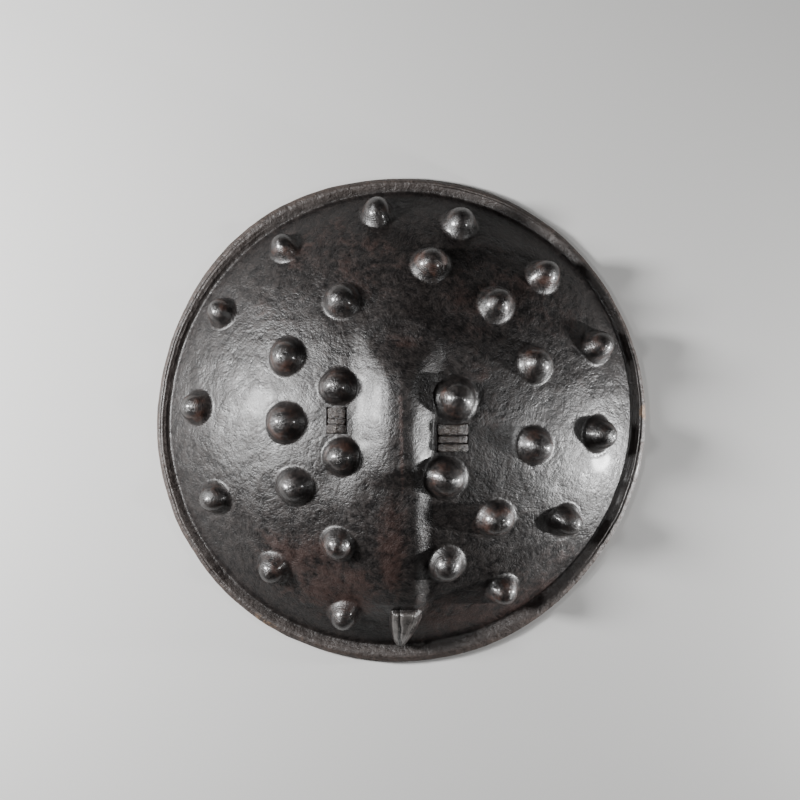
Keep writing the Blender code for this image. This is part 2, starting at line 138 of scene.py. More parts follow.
def cloud(place, scale, detail=3.0, roughness=0.55, length=1.0, turn=0.0, out=0):
    """Noise over the surface, of a given number of lumps a metre, drawn out to strands at a turn."""
    if length != 1.0:
        place = place.node("ShaderNodeMapping", {"vector_type": "TEXTURE"},
                           {"Vector": place, "Rotation": (0, 0, turn), "Scale": (length, 1, 1)})
    return place.node("ShaderNodeTexNoise", None, {"Vector": place, "Scale": scale, "Detail": detail,
                                                   "Roughness": roughness}, out=out)


def bend(place, scale, reach):
    """The place, carried aside by slow noise, so that strands laid out on it run in whorls."""
    carried = cloud(place, scale, 1.5, 0.5, out=1)
    return place.node("ShaderNodeVectorMath", {"operation": "MULTIPLY_ADD"},
                      {0: carried, 1: (reach, reach, reach), 2: place})


def bump(place, distance, relief):
    """Shades small relief, which stands out by the distance where it is 1."""
    return place.node("ShaderNodeBump", None, {"Strength": 1.0, "Distance": distance, "Height": relief})


def add_object(name, data):
    """An object of some data, linked to the scene."""
    made = bpy.data.objects.new(name, data)
    bpy.context.scene.collection.objects.link(made)
    return made


print("helpers ready")

# %% [markdown]
# ## The dome's form, as functions
#
# Everything pressed out of the sheet is described on the unrolled sheet: `u` runs across it and `v`
# up it, both measured along the curve from the middle, as with a tape. A function gives how far each
# point stands out of the plain dome. These are the same numbers that the solids are built from, so
# the fine surface lies on them. One could subdivide and sculpt the solid instead, but a function can
# be sampled as finely as one likes, and it tells the material where the bosses and the lug are.

# %% Numbers of the dome, the bosses and the hand ridge
# Lengths are in metres, and bearings run anticlockwise from the right
DOME_RADIUS, DOME_CENTRE_Z, THICKNESS, DOME_EDGE = 0.330, -0.2143, 0.0055, 0.243
OVAL, OVAL_BEARING = 0.0070, math.radians(18)
FOUR_SIDED, FOUR_SIDED_BEARING = 0.0026, math.radians(35)
RIM_WIDENING, WIDEST_RIM_BEARING = 0.008, math.radians(303)
INNER_EDGE = 0.2414
# The outer edge's waves: how many go round it, how far out they reach, and where they crest
EDGE_WAVES = ((1, 0.0020, 146), (2, 0.0005, 81), (3, 0.0010, 5), (5, 0.0008, -10), (6, 0.0006, 0))
# A boss is between a ball and a blunter point, and runs out into a fillet
POINTED, FILLET_START = 0.15, 0.92
BOSS_WALL, HOLLOW_DROP = 0.0048, 0.2

# Each boss: across and up from the middle, its radius and its height
BOSSES = (
    (-0.028, 0.241, 0.0180, 0.019), (0.067, 0.226, 0.0185, 0.020), (0.160, 0.163, 0.0180, 0.022),
    (0.222, 0.084, 0.0178, 0.0225), (0.224, -0.016, 0.0180, 0.024), (0.189, -0.115, 0.0180, 0.0235),
    (0.119, -0.199, 0.0180, 0.021), (-0.066, -0.225, 0.0172, 0.019), (-0.144, -0.166, 0.0168, 0.019),
    (-0.210, -0.087, 0.0170, 0.020), (-0.233, 0.015, 0.0175, 0.020), (-0.207, 0.124, 0.0160, 0.019),
    (-0.135, 0.199, 0.0162, 0.018), (0.032, 0.170, 0.0188, 0.019), (0.102, 0.125, 0.0183, 0.020),
    (0.143, 0.060, 0.0182, 0.021), (0.144, -0.027, 0.0180, 0.021), (0.103, -0.107, 0.0190, 0.021),
    (0.050, -0.159, 0.0188, 0.021), (-0.068, -0.131, 0.0166, 0.019), (-0.113, -0.069, 0.0180, 0.019),
    (-0.122, -0.002, 0.0190, 0.020), (-0.122, 0.068, 0.0180, 0.019), (-0.064, 0.128, 0.0180, 0.018),
    (-0.066, 0.035, 0.0172, 0.020), (-0.062, -0.037, 0.0172, 0.020), (0.057, 0.022, 0.0192, 0.021),
    (0.046, -0.060, 0.0195, 0.021),
)

# The middle of the ridge's round head, and how wide it is
HEAD_V, HEAD_RADIUS = 0.079, 0.053
# Stations up the spine: v, u of the left foot, left shoulder, right shoulder and right foot, and height
SPINE_STATIONS = np.array((
    (-0.212, -0.066, 0.005, 0.015, 0.031, 0.0085), (-0.160, -0.105, -0.005, 0.012, 0.0335, 0.0085),
    (-0.085, -0.100, -0.008, 0.0115, 0.0335, 0.0090), (-0.020, -0.055, -0.010, 0.010, 0.036, 0.0100),
    (0.040, -0.055, -0.010, 0.010, 0.044, 0.0100), (0.079, -0.053, -0.030, 0.030, 0.053, 0.0045)))
SPINE_END, SPINE_FADE = -0.234, 0.032
# The hump: its left foot, left and right crest and right foot, then where it fades above and below
HUMP_HEIGHT, HUMP_SIDES = 0.007, (-0.050, 0.000, 0.004, 0.034)
HUMP_TOP, HUMP_TOP_FADE, HUMP_END, HUMP_FADE = 0.084, 0.040, -0.070, 0.022
# How far the ridge's hollow lies inside its flanks
RIDGE_INSET = 0.0010
# The lug up the face: v, u of its left foot, left shoulder, right shoulder and right foot, its height
LUG_SECTIONS = np.array((
    (-0.2700, -0.0082, -0.0058, 0.0028, 0.0068, 0.0082), (-0.2630, -0.0112, -0.0072, 0.0030, 0.0104, 0.0118),
    (-0.2540, -0.0130, -0.0086, 0.0040, 0.0146, 0.0142), (-0.2430, -0.0134, -0.0094, 0.0070, 0.0190, 0.0150),
    (-0.2320, -0.0132, -0.0098, 0.0108, 0.0226, 0.0148), (-0.2205, -0.0128, -0.0100, 0.0146, 0.0232, 0.0138),
    (-0.2150, -0.0125, -0.0100, 0.0146, 0.0195, 0.0118)))
LUG_FLANK, LEFT_LOBE_RISE = 0.25, 0.26
# The furrow between its lobes: its middle, how far and how fast it wavers, its depth and its width,
# how far to its left the left lobe begins, and the worn crest's height, width and inset on the right
FURROW_U, FURROW_WAVER, FURROW_PACE, FURROW_DEPTH, FURROW_WIDTH = -0.0016, 0.0006, 260, 0.0024, 0.0017
LOBE_INSET, CREST_HEIGHT, CREST_WIDTH, CREST_INSET = 0.0012, 0.0010, 0.0016, 0.0008
print(len(BOSSES), "bosses, the ridge", round(SPINE_STATIONS[-1, 0] + HEAD_RADIUS - SPINE_END, 3), "m long")

# %% [markdown]
# ### The pressed forms
#
# A boss is nearly half a ball with a small fillet at its foot. The ridge is a low spine with a round
# head, and the hump for the hand's knuckles sits on it. The lug at its foot is a pinch of the hide: two
# lobes with a dark furrow between them, drawn together to a blunt nose over the rim.

# %% How far the sheet stands out


def smooth(value):
    """Runs from 0 to 1 with level ends as value goes from 0 to 1."""
    value = np.clip(value, 0.0, 1.0)
    return value * value * (3 - 2 * value)


def crown(share):
    """The height of a boss of height 1 above its fillet, at a distance given as a share of its radius."""
    return (1 - POINTED) * np.sqrt(np.maximum(0.0, 1 - share ** 2)) + POINTED * (1 - share ** 2)


CROWN_FALL = FILLET_START * ((1 - POINTED) / math.sqrt(1 - FILLET_START ** 2) + 2 * POINTED)
FILLET_END = FILLET_START + 2 * crown(FILLET_START) / CROWN_FALL


def cap(share):
    """The same with the fillet at its foot, which carries the crown's fall on and levels out."""
    fillet = crown(FILLET_START) * (np.clip(FILLET_END - share, 0.0, None) / (FILLET_END - FILLET_START)) ** 2
    return np.where(share < FILLET_START, crown(share), fillet)


def between_stations(v, stations):
    """Each column of a list of stations, at the places v between them."""
    return [np.interp(v, stations[:, 0], column) for column in stations.T[1:]]


def flanks(u, left_foot, left_top, right_top, right_foot, inset):
    """Runs up from 0 at the feet to 1 between the tops."""
    return np.minimum(smooth((u - left_foot - inset) / (left_top - left_foot)),
                      smooth((right_foot - inset - u) / (right_foot - right_top)))


def spine_at(u, v, inset=0.0):
    """The low spine: a round head, then two flanks down to its fading foot."""
    *sides, height = between_stations(v, SPINE_STATIONS)
    head = smooth((HEAD_RADIUS - inset - np.hypot(u, v - HEAD_V)) / (HEAD_RADIUS - sides[2]))
    across = np.where(v > HEAD_V, head, flanks(u, *sides, inset))
    return height * across * smooth((v - SPINE_END) / SPINE_FADE)


def hump_at(u, v, inset=0.0):
    """The hump over the hand, running out above and below."""
    along = smooth((v - HUMP_END) / HUMP_FADE) * smooth((HUMP_TOP - v) / HUMP_TOP_FADE)
    return HUMP_HEIGHT * flanks(u, *HUMP_SIDES, inset) * along


def lug_at(u, v):
    """The lug at the ridge's foot: two lobes between steep sides, and the furrow between them."""
    left_foot, left_shoulder, right_shoulder, right_foot, height = between_stations(v, LUG_SECTIONS)
    up_left = np.clip((u - left_foot) / (left_shoulder - left_foot), 0.0, 1.0)
    up_right = np.clip((right_foot - u) / (right_foot - right_shoulder), 0.0, 1.0)
    middle = FURROW_U + FURROW_WAVER * np.sin(v * FURROW_PACE)
    inner = middle - LOBE_INSET
    lobe = 1 - LEFT_LOBE_RISE * np.clip((inner - u) / (inner - left_shoulder), 0.0, 1.0)
    lift = height * (LUG_FLANK + (1 - LUG_FLANK) * np.minimum(up_left, up_right)) * lobe
    side = smooth((np.minimum(u - left_foot, right_foot - u) + 0.0008) / 0.0012)
    furrow = FURROW_DEPTH * np.exp(-((u - middle) / FURROW_WIDTH) ** 2) * smooth((v + 0.2700) / 0.010)
    crest = CREST_HEIGHT * np.exp(-((u - right_shoulder + CREST_INSET) / CREST_WIDTH) ** 2)
    crest = crest * smooth((v + 0.2640) / 0.008)
    upper_end = smooth((LUG_SECTIONS[-1, 0] + 0.0010 - v) / 0.0030)
    lower_end = smooth((v - LUG_SECTIONS[0, 0] + 0.0014) / 0.0024)
    return (lift - furrow + crest) * side * (upper_end * lower_end)


middle = np.zeros(1)
peak = hump_at(middle, middle) + spine_at(middle, middle)
print("the ridge stands", round(float(peak[0]) * 1000, 1), "mm out of the dome at the hand")

# %% [markdown]
# ### Small irregularities
#
# Nothing on a hand-pressed hide is even. Each boss is a little out of round and dented its own way,
# the dome swells and dips between them, and fine folds run where the hide was pulled. Noise does this
# well, as long as its lumps have the real size: broad swells of some centimetres, dents under one.

# %% Noise, dents and folds
# Swells of the face and the back, and dents on the bosses: height, size of a lump, which noise
SWELLS = ((0.0007, 0.055, 1.0), (0.00035, 0.022, 2.0))
BACK_SWELLS = ((0.0006, 0.040, 5.0), (0.00025, 0.014, 6.0))
DENTS = ((0.00045, 0.0095, 3.0), (0.00022, 0.0045, 4.0))
# A crease, a crest line and a step on the ridge: height, from where, to where, and half the width
MARKS = ((-0.0006, (-0.021, -0.068), (0.014, -0.076), 0.0030),
         (0.0005, (-0.001, 0.055), (0.004, -0.064), 0.0030),
         (-0.0005, (-0.034, -0.062), (-0.034, -0.132), 0.0028))
# The groove round a boss's foot: its depth, and in the boss's radii where it is and half its width
FOOT_DEPTH, FOOT_AT, FOOT_WIDTH = 0.0004, 1.22, 0.22
# The arch on the ridge's head: its depth, middle, radius and half width, and the v above which it is
ARCH_DEPTH, ARCH_MIDDLE, ARCH_RADIUS, ARCH_WIDTH, ARCH_FOOT = 0.0006, (0.001, 0.066), 0.034, 0.004, 0.075


def lumps(u, v, listed):
    """Smooth noise over the sheet, the sum of some listed layers."""
    return sum(height * np.array([noise.noise((a / size, b / size, layer)) for a, b in zip(u, v)])
               for height, size, layer in listed)


def fold(u, v, start, end, width):
    """A narrow mark along a line from one point to another: 1 on it, 0 beside it."""
    along = np.array(end) - np.array(start)
    share = np.clip(((u - start[0]) * along[0] + (v - start[1]) * along[1]) / (along @ along), 0, 1)
    distance = np.hypot(u - start[0] - share * along[0], v - start[1] - share * along[1])
    return smooth(1 - distance / width)


def bosses_at(u, v, wall=0.0, uneven=True):
    """The bosses' heights and, for each point, its distance from the nearest boss in that boss's radii."""
    lift = np.zeros_like(u)
    nearest = np.full_like(u, 4.0)
    for number, (boss_u, boss_v, radius, height) in enumerate(BOSSES):
        near = np.hypot(u - boss_u, v - boss_v) < radius * 1.7
        across, up = u[near] - boss_u, v[near] - boss_v
        share = np.hypot(across, up) / (radius - wall)
        nearest[near] = np.minimum(nearest[near], np.hypot(across, up) / radius)
        bearing = np.arctan2(up, across)
        if uneven:
            oval = 0.030 * np.cos(2 * bearing - 1.7 * number)
            share = share * (1 + oval + 0.018 * np.cos(3 * bearing + number))
        lift[near] = np.maximum(lift[near], (height - HOLLOW_DROP * wall) * cap(share))
    return lift, nearest


def face_lift(u, v):
    """How far the finished face stands out of the plain dome, and how near each point is to a boss."""
    bosses, nearest = bosses_at(u, v)
    lug = lug_at(u, v)
    forms = np.maximum(spine_at(u, v) + hump_at(u, v) + bosses, lug)
    relief = lumps(u, v, SWELLS) - FOOT_DEPTH * smooth(1 - np.abs(nearest - FOOT_AT) / FOOT_WIDTH)
    for height, start, end, width in MARKS:
        relief = relief + height * fold(u, v, start, end, width)
    from_arch = np.abs(np.hypot(u - ARCH_MIDDLE[0], v - ARCH_MIDDLE[1]) - ARCH_RADIUS)
    relief = relief - ARCH_DEPTH * smooth(1 - from_arch / ARCH_WIDTH) * (v > ARCH_FOOT)
    beside_lug = 1 - smooth(lug / 0.004)
    on_boss = smooth(1.25 - nearest)
    return forms + relief * beside_lug + lumps(u, v, DENTS) * on_boss, nearest


def back_lift(u, v):
    """The back of the sheet: the same forms, hollow, a wall's thickness behind."""
    bosses, nearest = bosses_at(u, v, BOSS_WALL, uneven=False)
    ridge = spine_at(u, v, RIDGE_INSET) + hump_at(u, v, RIDGE_INSET)
    return ridge + bosses - THICKNESS + lumps(u, v, BACK_SWELLS), nearest


sample_u, sample_v = (np.array(axis) for axis in zip(*[boss[:2] for boss in BOSSES]))
heights = face_lift(sample_u, sample_v)[0] * 1000
print("boss heights from", round(heights.min(), 1), "to", round(heights.max(), 1), "mm")

# %% [markdown]
# ### From the unrolled sheet to the dome
#
# A point `u, v` goes along the ball's curve and is lifted out along its radius. The last step makes
# the round form as slightly oval and four-sided as the hand-made outline.

# %% Place points on the dome


def outline_stretch(bearing):
    """How far out of round the outline is at a bearing, as a share of the radius."""
    oval = OVAL * np.cos(2 * (bearing - OVAL_BEARING))
    return oval + FOUR_SIDED * np.cos(4 * (bearing - FOUR_SIDED_BEARING))


def edge_shift(bearing):
    """How far out the waves carry the outer edge at a bearing."""
    return sum(reach * np.cos(waves * (bearing - math.radians(crest))) for waves, reach, crest in EDGE_WAVES)


def out_of_round(radius, bearing, z, inward, outward=0.0):
    """Points of the true round form, moved to where the hand-made outline has them."""
    stretched = radius * (1 + outline_stretch(bearing) * np.minimum(1.0, (radius / DOME_EDGE) ** 2))
    shift = RIM_WIDENING * np.maximum(0.0, np.cos(bearing - WIDEST_RIM_BEARING)) ** 3
    radius = stretched - shift * inward + edge_shift(bearing) * outward
    return np.stack((radius * np.cos(bearing), radius * np.sin(bearing), z), axis=1)


def on_dome(u, v, lift):
    """Points at u across and v up, taped over the dome and lifted off it."""
    u, v, lift = (np.atleast_1d(np.asarray(a, float)) for a in (u, v, lift))
    arc = np.hypot(u, v) / DOME_RADIUS
    radius = (DOME_RADIUS + lift) * np.sin(arc)
    z = DOME_CENTRE_Z + (DOME_RADIUS + lift) * np.cos(arc)
    return out_of_round(radius, np.arctan2(v, u), z, np.minimum(1.0, (radius / DOME_EDGE) ** 2))


def dome_frame(u, v):
    """A frame on the plain dome: its z stands out of the sheet and its x points across."""
    origin = Vector(on_dome(u, v, 0.0)[0])
    out = (Vector(on_dome(u, v, THICKNESS)[0]) - origin).normalized()
    across = (Vector((1, 0, 0)) - out * out.x).normalized()
    placed = Matrix((across, out.cross(across), out)).transposed().to_4x4()
    placed.translation = origin
    return placed


print("the dome's top is at z", round(float(on_dome(0, 0, 0)[0, 2]), 4))

# %% [markdown]
# ## The sheet of hide as one mesh
#
# The face and the back are two skins, joined over the rim and through the four lacing slots. Their
# points are laid out on the flat sheet, close together round the bosses and the lug and further apart
# elsewhere, and a triangulation joins them, as for a terrain made from survey points.

# %% Slots, and points of a skin
LEFT_LACING, RIGHT_LACING = (-0.067, 0.0), (0.053, -0.018)
LEFT_SPAN, RIGHT_SPAN = (0.0085, 0.0138), (0.0140, 0.0150)
SLOT_WIDTH = 0.0045
RIM_STEPS = 480
EPSILON = 0.000001
# Rows of a grid of triangles lie this share of its pitch apart
ROW_PITCH = 0.866
# The fine mesh over the lug: how many points across and along, and between which v
LUG_COLUMNS, LUG_ROWS, LUG_GRID_ENDS = 48, 64, (-0.2712, -0.2110)
# Of the face and then the back: how far apart its points are, the rings round each boss as shares of
# the boss's radius, and how many points the widest rings have
FACE_PITCH, FACE_RINGS, FACE_RING_STEPS = 0.0029, np.linspace(0.09, 1.36, 18), 32
BACK_PITCH, BACK_RINGS, BACK_RING_STEPS = 0.0050, np.linspace(0.18, 1.30, 8), 24


def slot_outlines():
    """The four slots on the flat sheet, each a loop of points a few millimetres apart."""
    outlines = []
    for (u, v), (half_span, half_height) in ((LEFT_LACING, LEFT_SPAN), (RIGHT_LACING, RIGHT_SPAN)):
        for side in (-half_span, half_span):
            corners = [(u + side + a * SLOT_WIDTH / 2, v + b * half_height)
                       for a, b in ((-1, -1), (1, -1), (1, 1), (-1, 1))]
            loop = []
            for (one, other), count in zip(zip(corners, corners[1:] + corners[:1]), (2, 12, 2, 12)):
                loop.extend([tuple(a + (b - a) * k / count for a, b in zip(one, other))
                             for k in range(count)])
            outlines.append(loop)
    return outlines


SLOTS = slot_outlines()


def clear_of_slots(u, v, margin):
    """Which points lie outside every slot by a margin."""
    clear = np.ones_like(u, bool)
    for loop in SLOTS:
        low, high = np.min(loop, axis=0) - margin, np.max(loop, axis=0) + margin
        clear &= ~((u > low[0]) & (u < high[0]) & (v > low[1]) & (v < high[1]))
    return clear


def ring_points(u, v, radius, steps, turn):
    """Points round a circle on the flat sheet."""
    angles = turn + 2 * np.pi * np.arange(steps) / steps
    return np.stack((u + radius * np.cos(angles), v + radius * np.sin(angles)), axis=1)


def sheet_points(edge_arc, pitch, wall, rings, steps):
    """All points of one skin on the flat sheet: its edge, then the slots, then the rest."""
    fixed = [ring_points(0, 0, edge_arc, RIM_STEPS, 0.0)] + [np.array(loop) for loop in SLOTS]
    free = []
    for boss_u, boss_v, radius, _ in BOSSES:
        free.append(np.array([(boss_u, boss_v)]))
        for number, share in enumerate(rings):
            count = max(6, int(steps * min(1.0, share + 0.1)))
            free.append(ring_points(boss_u, boss_v, (radius - wall) * share, count, 0.5 * number))
    rows = int(edge_arc / pitch / ROW_PITCH) + 2
    grid = np.array([((column + 0.5 * (row % 2)) * pitch, row * pitch * ROW_PITCH)
                     for row in range(-rows, rows + 1) for column in range(-rows, rows + 1)])
    reach = np.min([np.hypot(grid[:, 0] - boss[0], grid[:, 1] - boss[1]) - (boss[2] - wall) * rings[-1]
                    for boss in BOSSES], axis=0)
    free.append(grid[reach > 0.6 * pitch])
    if wall == 0.0:
        share, lug_v = np.meshgrid(np.linspace(-0.08, 1.08, LUG_COLUMNS),
                                   np.linspace(*LUG_GRID_ENDS, LUG_ROWS))
        left, _, _, right, _ = between_stations(lug_v, LUG_SECTIONS)
        free.append(np.stack(((left + (right - left) * share).ravel(), lug_v.ravel()), axis=1))
    free = np.concatenate(free)
    radius = np.hypot(free[:, 0], free[:, 1])
    free = free[(radius < edge_arc - 0.4 * pitch) & clear_of_slots(free[:, 0], free[:, 1], 0.0008)]
    return np.concatenate(fixed), free


def skin(edge_arc, pitch, wall, rings, steps):
    """One skin: its points on the flat sheet, its triangles, and where its edge and slots are."""
    fixed, free = sheet_points(edge_arc, pitch, wall, rings, steps)
    flat = [Vector(point) for point in np.concatenate((fixed, free))]
    edges, loops, first = [], [], RIM_STEPS
    for outline in SLOTS:
        loop = list(range(first, first + len(outline)))
        edges.extend(zip(loop, loop[1:] + loop[:1]))
        loops.append(loop)
        first += len(outline)
    placed, _, faces, sources, _, _ = delaunay_2d_cdt(flat, edges, [], 0, EPSILON)
    where = {source: number for number, listed in enumerate(sources) for source in listed}
    points = np.array([(p.x, p.y) for p in placed])
    faces = np.array(faces)
    middle = points[faces].mean(axis=1)
    faces = faces[clear_of_slots(middle[:, 0], middle[:, 1], 0.0)]
    edge = [where[k] for k in range(RIM_STEPS)]
    return points, faces, edge, [[where[k] for k in loop] for loop in loops]


FACE_ARC = DOME_RADIUS * math.asin(DOME_EDGE / DOME_RADIUS)
BACK_ARC = DOME_RADIUS * math.asin(INNER_EDGE / (DOME_RADIUS - THICKNESS))
face_skin = skin(FACE_ARC, FACE_PITCH, 0.0, FACE_RINGS, FACE_RING_STEPS)
back_skin = skin(BACK_ARC, BACK_PITCH, BOSS_WALL, BACK_RINGS, BACK_RING_STEPS)
print("face", len(face_skin[1]), "and back", len(back_skin[1]), "triangles")

# %% [markdown]
# ### The rim
#
# Outside the dome's foot the hide lies flat in a shallow channel and then swells to a low, thick lip. Its
# section is swept round the shield. A curve with a bevel could make it, but the section changes on the
# way: the rim is wider at the lower right, its edge waves in and out as it was cut by hand, and a fine
# groove comes and goes along the lip. So each ring of points is worked out.

# %% Rings of the rim
# Radius, height and how much goes in with the widening, over the channel and the lip, then below
RIM_FACE = np.array((
    (0.2430, 0.0090, 1.0), (0.2454, 0.0066, 1.0), (0.2477, 0.0067, 0.9), (0.2516, 0.0084, 0.75),
    (0.2541, 0.0093, 0.6), (0.2568, 0.0086, 0.3), (0.2595, 0.0056, 0.0)))
RIM_BACK = np.array(((0.2595, 0.0056, 0.0), (0.2582, 0.0022, 0.0), (0.2520, 0.0, 0.5), (0.2442, 0.0, 1.0)))
# Where the lip's groove is deep: middle in degrees, half width in degrees
GROOVES = ((158, 42), (350, 40), (205, 26), (70, 18))
# Where a low fold runs inside the lip, in the same way, and how wide the groove and the fold are
FOLDS = ((160, 50), (10, 30))
GROOVE_WIDTH, FOLD_WIDTH = 0.0007, 0.0008


def rounded(section, counts):
    """More points along a section, on a smooth curve through its points."""
    padded = np.vstack((2 * section[0] - section[1], section, 2 * section[-1] - section[-2]))
    rows = []
    for k, count in enumerate(counts):
        a, b, c, d = padded[k:k + 4]
        for t in (np.arange(count) + 1) / count:
            rows.append(0.5 * (2 * b + (c - a) * t + (2 * a - 5 * b + 4 * c - d) * t ** 2
                               + (3 * b - a - 3 * c + d) * t ** 3))
    return np.array(rows)


def rim_waver(bearing, z, layer, size):
    """Noise round the rim, the same all the way round a ring's join."""
    return np.array([noise.noise((math.cos(b) * 0.25 / size, math.sin(b) * 0.25 / size, layer + h * 40))
                     for b, h in zip(bearing, np.broadcast_to(z, bearing.shape))])


def half_widths_from(bearing, middle, half_width):
    """How far bearings are from the middle of a stretch of the rim, in its half widths."""
    return np.abs((np.degrees(bearing) % 360 - middle + 180) % 360 - 180) / half_width


def around(bearing, listed):
    """1 at the middle of each listed stretch of the rim, down to 0 at its ends."""
    apart = [half_widths_from(bearing, *stretch) for stretch in listed]
    return smooth(1.6 * (1 - np.min(apart, axis=0)))


def rim_rings():
    """Rings of points over the rim, from the dome's edge to the inside of its foot."""
    bearing = 2 * np.pi * np.arange(RIM_STEPS) / RIM_STEPS
    rings = []
    face = rounded(RIM_FACE, (3, 3, 5, 6, 6, 4))
    back = np.vstack((rounded(RIM_BACK[:3], (3, 3)), RIM_BACK[3:]))
    groove_at = 0.2549 + 0.0006 * rim_waver(bearing, 0.0, 11.0, 0.060)
    groove = 0.0011 * around(bearing, GROOVES) * (0.8 + 0.5 * rim_waver(bearing, 0.0, 12.0, 0.035))
    fold_at = 0.2500 + 0.0007 * rim_waver(bearing, 0.0, 13.0, 0.040)
    fold_lift = 0.0007 * around(bearing, FOLDS) * (0.6 + 0.9 * rim_waver(bearing, 0.0, 14.0, 0.028))
    for number, (radius, z, inward) in enumerate(np.vstack((face, back))):
        loose = (0.4 if number < 3 else 1.0) * (z > 0.004) + 0.5 * (z <= 0.004) * (z > 0.001)
        on_top = 1.0 if number < len(face) else 0.0
        out = 0.0006 * rim_waver(bearing, z, 7.0, 0.030) + 0.00035 * rim_waver(bearing, z, 8.0, 0.009)
        up = 0.0006 * rim_waver(bearing, 0.0, 9.0, 0.045) + 0.0004 * rim_waver(bearing, z, 10.0, 0.010)
        up = up - on_top * groove * np.exp(-((radius - groove_at) / GROOVE_WIDTH) ** 2)
        up = up + on_top * fold_lift * np.exp(-((radius - fold_at) / FOLD_WIDTH) ** 2)
        rings.append(out_of_round(radius + out * loose, bearing, z + up * loose, inward, 1 - inward))
    return rings


rim = rim_rings()
crest_z = max(ring[:, 2].max() for ring in rim)
print("rim:", len(rim), "rings of", RIM_STEPS, "points, crest at", round(crest_z, 4), "m")

# %% [markdown]
# ### Where the hide is worn, red or bald
#
# The material has to know where it is: on a boss, on the lug, behind the sheet or on the rim's worn
# lip. Each such mask is a number stored at every point of the mesh. The patches are soft ellipses
# at listed places, and the material later breaks their edges up with noise.

# %% Masks at the mesh's points
# Ruddy patches: x, y, half length, half width, turn, strength
RUDDY = (
    (-0.012, -0.128, 0.062, 0.020, 90, 1.0), (0.000, -0.020, 0.075, 0.0022, 91, 1.0),
    (0.001, 0.082, 0.027, 0.009, 0, 0.7), (-0.032, -0.085, 0.020, 0.003, 90, 0.7),
    (-0.080, -0.165, 0.085, 0.045, -25, 0.9), (0.045, -0.205, 0.085, 0.030, 15, 0.8),
    (-0.060, 0.170, 0.085, 0.042, -12, 0.6), (0.085, 0.130, 0.055, 0.060, 30, 0.6),
    (0.165, 0.110, 0.060, 0.030, -45, 0.5), (0.135, -0.195, 0.070, 0.030, 38, 0.9),
    (-0.140, 0.105, 0.040, 0.025, 35, 0.5), (0.150, -0.165, 0.060, 0.028, 40, 0.6),
    (0.085, -0.100, 0.030, 0.018, 0, 0.5), (0.100, 0.010, 0.030, 0.020, 0, 0.35),
    (0.080, 0.055, 0.035, 0.020, 60, 0.5),
)
# Tan wear on the rim: bearing in degrees, half width in degrees, strength
TAN_WEAR = ((2, 2.2, 1.0), (24, 1.6, 0.35), (39, 2.0, 0.35), (236, 3.5, 0.8), (245, 2.5, 0.55),
            (58, 2.5, 0.3), (118, 2.0, 0.25), (262, 4.0, 0.4), (318, 2.5, 0.3))
# How worn the lip is at these rings of the rim, counted from the dome's edge
LIP_RINGS, LIP_WEAR = (0, 6, 14, 20, 27, 31), (0.10, 0.35, 0.6, 0.85, 1.0, 0.5)
# The relief fades over this distance from the sheet's edge
SETTLE = 0.006


def patches(x, y, listed):
    """The strongest of some soft ellipses at each point."""
    mask = np.zeros_like(x)
    for centre_x, centre_y, length, width, turn, strength in listed:
        c, s = math.cos(math.radians(turn)), math.sin(math.radians(turn))
        along, beside = (x - centre_x) * c + (y - centre_y) * s, (y - centre_y) * c - (x - centre_x) * s
        mask = np.maximum(mask, strength * smooth(1.35 - np.hypot(along / length, beside / width)))
    return mask


def tan_wear(x, y):
    """Where the rim is worn down to raw hide."""
    return np.max([strength * smooth(1.5 - half_widths_from(np.arctan2(y, x), middle, half_width))
                   for middle, half_width, strength in TAN_WEAR], axis=0)


print("ruddy share of a test row:", patches(np.linspace(-0.2, 0.2, 9), np.full(9, -0.15), RUDDY).round(2))

# %% [markdown]
# ### Build the hide
#
# All rings and skins go into one mesh. `from_pydata` takes plain lists, which is fast enough here.

# %% The hide's mesh and its masks


def add_mask(mesh, name, values):
    """Stores one number at each point of a mesh, for its material to read."""
    mesh.attributes.new(name, "FLOAT", "POINT").data.foreach_set("value", values.astype(np.float32))


def finish_mesh(name, points, faces, crease):
    """Makes an object of points and faces, its faces facing out, smooth except at sharp edges."""
    mesh = bpy.data.meshes.new(name)
    mesh.from_pydata([tuple(p) for p in points], [], [tuple(int(k) for k in f) for f in faces])
    shaper = bmesh.new()
    shaper.from_mesh(mesh)
    bmesh.ops.recalc_face_normals(shaper, faces=shaper.faces)
    shaper.to_mesh(mesh)
    shaper.free()
    mesh.shade_smooth()
    mesh.set_sharp_from_angle(angle=math.radians(crease))
    return add_object(name, mesh)


def join_rings(one, other):
    """Faces between two rings of point numbers."""
    return [(one[k], one[(k + 1) % len(one)], other[(k + 1) % len(one)], other[k]) for k in range(len(one))]


